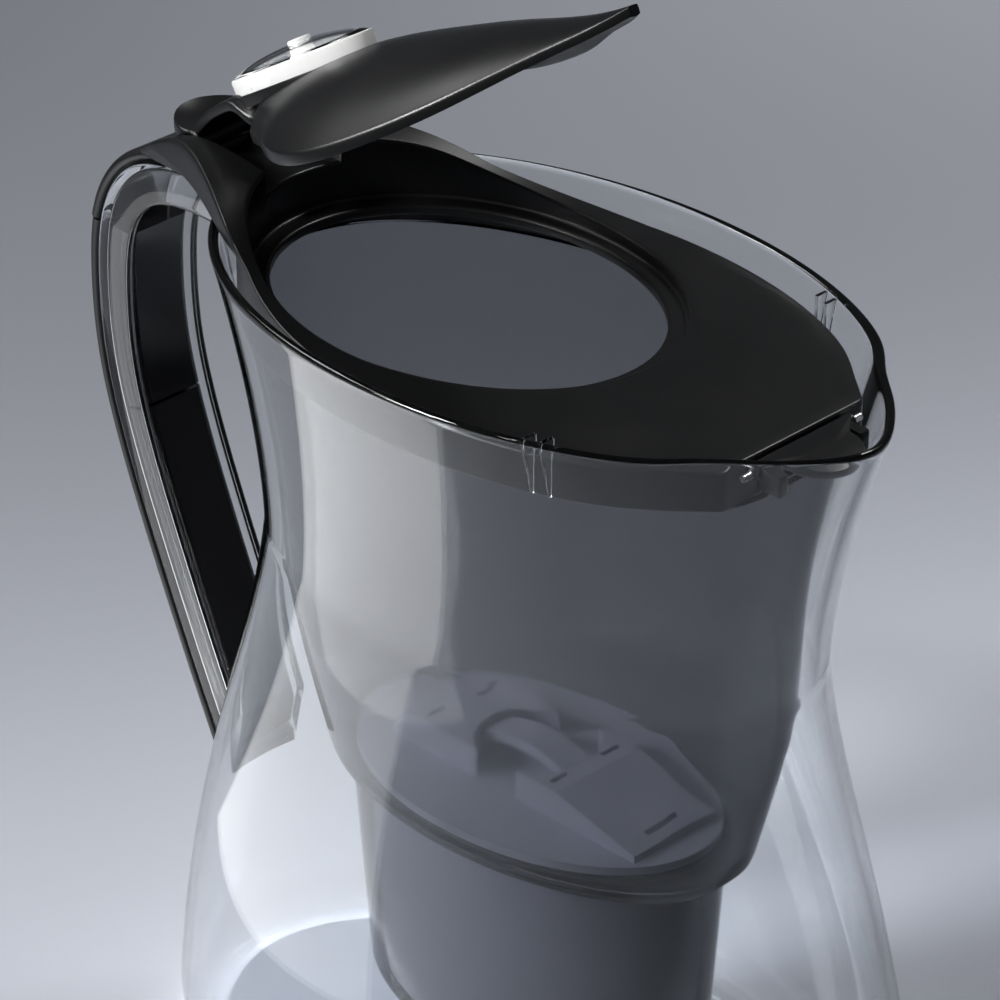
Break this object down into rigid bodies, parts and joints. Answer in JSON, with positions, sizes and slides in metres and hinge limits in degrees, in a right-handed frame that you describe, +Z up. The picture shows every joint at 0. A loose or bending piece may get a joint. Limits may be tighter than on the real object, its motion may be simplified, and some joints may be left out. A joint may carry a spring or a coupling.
{
  "type": "water filter pitcher",
  "caption": "Clear oval jug with a drop-in funnel and filter cartridge, a black lid with a hinged fill flap and change indicator, a spout flap and a loop handle.",
  "frame": {"origin": "middle of the flat base, on the table", "axes": "+X to the spout, +Z up, Y = 0 is the mirror plane"},
  "size_m": [0.2621, 0.141, 0.3166],
  "materials": {
    "clear_plastic": "polished clear moulding",
    "smoky_plastic": "smoky see-through moulding",
    "satin_black": "satin black moulding",
    "gloss_black": "gloss black moulding",
    "cartridge_grey": "plain grey moulding",
    "seal_rubber": "soft black",
    "media_granules": "dark granules",
    "screen_mesh": "fine white mesh",
    "white_plastic": "white moulding",
    "lens_clear": "polished clear dome",
    "display_glass": "grey display",
    "board_green": "circuit board",
    "steel": "drawn wire"
  },
  "bodies": {
    "jug": {"jug_body": "clear_plastic", "handle_shell": "clear_plastic", "handle_core_upper": "gloss_black", "handle_core_lower": "gloss_black", "handle_strip": "satin_black"},
    "funnel": {"funnel_hopper": "smoky_plastic", "cartridge_cup": "smoky_plastic"},
    "cartridge": {"cartridge_shell": "cartridge_grey", "cartridge_cap": "cartridge_grey", "pull_loop": "cartridge_grey", "cartridge_seal": "seal_rubber", "filter_media": "media_granules", "inlet_screen": "screen_mesh", "outlet_screen": "screen_mesh"},
    "lid": {"lid_frame": "satin_black", "flap_hinge_pin": "steel", "spout_flap_pin": "steel"},
    "fill_flap": {"flap_shell": "satin_black", "indicator_base": "white_plastic", "indicator_lens": "lens_clear", "indicator_display": "display_glass", "indicator_board": "board_green", "indicator_cell": "steel"},
    "button": {"indicator_button": "white_plastic"},
    "spout_cover": {"spout_flap": "satin_black"}
  },
  "joints": [
    {"name": "funnel_lift", "type": "slide", "parent": "jug", "child": "funnel", "axis": [0, 0, 1], "range_m": [0, 0.12]},
    {"name": "cartridge_lift", "type": "slide", "parent": "funnel", "child": "cartridge", "axis": [0, 0, 1], "range_m": [0, 0.07]},
    {"name": "lid_lift", "type": "slide", "parent": "funnel", "child": "lid", "axis": [0, 0, 1], "range_m": [0, 0.06]},
    {"name": "flap_hinge", "type": "hinge", "parent": "lid", "child": "fill_flap", "pos_m": [-0.108, 0, 0.2415], "axis": [0, -1, 0], "range_deg": [-31.3, 5]},
    {"name": "button_press", "type": "slide", "parent": "fill_flap", "child": "button", "axis": [0.512, 0, -0.859], "range_m": [0, 0.001], "stiffness_N_per_m": 300},
    {"name": "spout_flap_hinge", "type": "hinge", "parent": "lid", "child": "spout_cover", "pos_m": [0.0813, 0, 0.2275], "axis": [0, -1, 0], "range_deg": [0, 60]}
  ]
}
